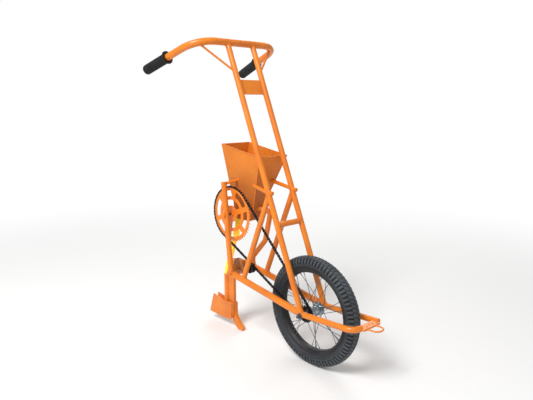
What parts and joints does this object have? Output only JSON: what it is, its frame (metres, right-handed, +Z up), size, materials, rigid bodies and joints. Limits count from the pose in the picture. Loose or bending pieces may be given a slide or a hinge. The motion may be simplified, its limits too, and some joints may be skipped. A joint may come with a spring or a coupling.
{
  "type": "wheel hoe seeder",
  "caption": "Hand-pushed row seeder: a spoked front wheel drives a chain to the feed shaft under a tapered hopper, with a hose and furrow tine behind.",
  "frame": {"origin": "midway between the centres of the two hand grips, where the operator holds the machine", "axes": "+X forward in the direction of travel, +Y to the machine's left, +Z up with the tyre and the tine tip on level ground"},
  "size_m": [0.972, 0.5306, 1.1784],
  "materials": {
    "orange_paint": "gloss enamel",
    "tyre_rubber": "matt",
    "rim_steel": "black enamel",
    "spoke_steel": "bright",
    "hub_alloy": "satin",
    "dark_steel": "oiled dark",
    "plated_steel": "zinc plated",
    "dark_plastic": "matt",
    "grip_rubber": "ribbed matt",
    "yellow_plastic": "semi-matt",
    "yellow_hose": "semi-matt",
    "bare_steel": "worn bare"
  },
  "bodies": {
    "frame": {"adjuster_disc": "bare_steel", "axle": "plated_steel", "chain": "dark_steel", "handlebar": "orange_paint", "hitch_plate": "orange_paint", "hopper_front_wall": "orange_paint", "hopper_left_wall": "orange_paint", "hopper_rear_wall": "orange_paint", "hopper_right_wall": "orange_paint", "hose_collar": "yellow_plastic", "idler_pin": "plated_steel", "left_boot_plate": "orange_paint", "left_front_rail": "orange_paint", "left_grip": "grip_rubber", "left_handle_brace": "orange_paint", "left_hopper_bar": "orange_paint", "left_rear_rail": "orange_paint", "left_rear_stay": "orange_paint", "left_shank_link": "orange_paint", "left_strut": "orange_paint", "left_upright": "orange_paint", "metering_housing": "orange_paint", "middle_crossbar": "orange_paint", "nameplate": "orange_paint", "rear_crosspiece": "orange_paint", "right_boot_plate": "orange_paint", "right_front_rail": "orange_paint", "right_grip": "grip_rubber", "right_handle_brace": "orange_paint", "right_hopper_bar": "orange_paint", "right_rear_post": "orange_paint", "right_rear_rail": "orange_paint", "right_shank_link": "orange_paint", "right_strut": "orange_paint", "right_upright": "orange_paint", "seed_funnel": "yellow_plastic", "seed_hose": "yellow_hose", "seed_tube": "orange_paint", "shank": "orange_paint", "tine": "orange_paint", "tine_socket": "orange_paint", "tow_ring": "orange_paint", "tube_web": "orange_paint"},
    "wheel": {"tyre": "tyre_rubber", "rim": "rim_steel", "spokes": "spoke_steel", "hub": "hub_alloy", "wheel_sprocket": "dark_steel"},
    "metering": {"chainwheel": "orange_paint", "metering_shaft": "plated_steel"},
    "idler_roller": {"idler": "dark_plastic"}
  },
  "joints": [
    {"name": "wheel_spin", "type": "hinge", "parent": "frame", "child": "wheel", "pos_m": [0.6105, 0, -0.88603], "axis": [0, 1, 0], "continuous": true},
    {"name": "metering_spin", "type": "hinge", "parent": "frame", "child": "metering", "pos_m": [0.2025, 0, -0.58403], "axis": [0, 1, 0], "continuous": true},
    {"name": "idler_spin", "type": "hinge", "parent": "frame", "child": "idler_roller", "pos_m": [0.31572, -0.04, -0.78418], "axis": [0, 1, 0], "continuous": true}
  ],
  "couplings": [
    {"joint": "metering_spin", "follows": "wheel_spin", "ratio": 0.25926},
    {"joint": "idler_spin", "follows": "wheel_spin", "ratio": -2.3781}
  ]
}
